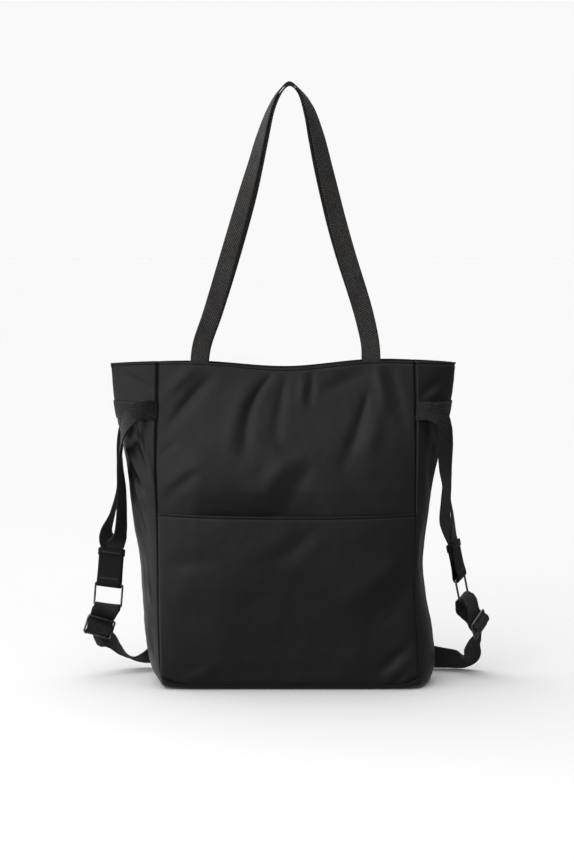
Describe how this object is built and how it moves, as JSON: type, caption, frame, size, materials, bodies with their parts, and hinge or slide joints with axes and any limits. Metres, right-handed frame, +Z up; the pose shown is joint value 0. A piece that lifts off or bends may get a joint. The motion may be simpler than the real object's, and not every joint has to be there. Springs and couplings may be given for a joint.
{
  "type": "tote-shaped backpack",
  "caption": "Soft tote-shaped backpack of black nylon with a front slip pocket, long webbing handles and adjustable side straps with ring and slider.",
  "frame": {"origin": "middle of the base's underside, on the floor", "axes": "+Z up, the front with the pocket faces -Y, +X to the right as seen from the front"},
  "size_m": [0.5136, 0.1442, 0.7433],
  "materials": {
    "nylon": "satin weave",
    "webbing": "twill weave",
    "leather": "fine grain",
    "gunmetal": "dark polished"
  },
  "bodies": {
    "root": {"front_panel": "nylon", "back_panel": "nylon", "base_panel": "nylon", "front_pocket": "nylon", "gusset_left": "nylon", "gusset_right": "nylon", "handle_front": "webbing", "handle_back": "webbing", "side_band_left": "webbing", "side_band_right": "webbing", "strand_left_front": "webbing", "strand_left_back": "webbing", "strand_right_front": "webbing", "strand_right_back": "webbing", "strap_left": "webbing", "strap_right": "webbing", "tab_left": "leather", "tab_right": "leather", "ring_left": "gunmetal", "ring_right": "gunmetal", "slider_left": "gunmetal", "slider_right": "gunmetal"}
  },
  "joints": []
}
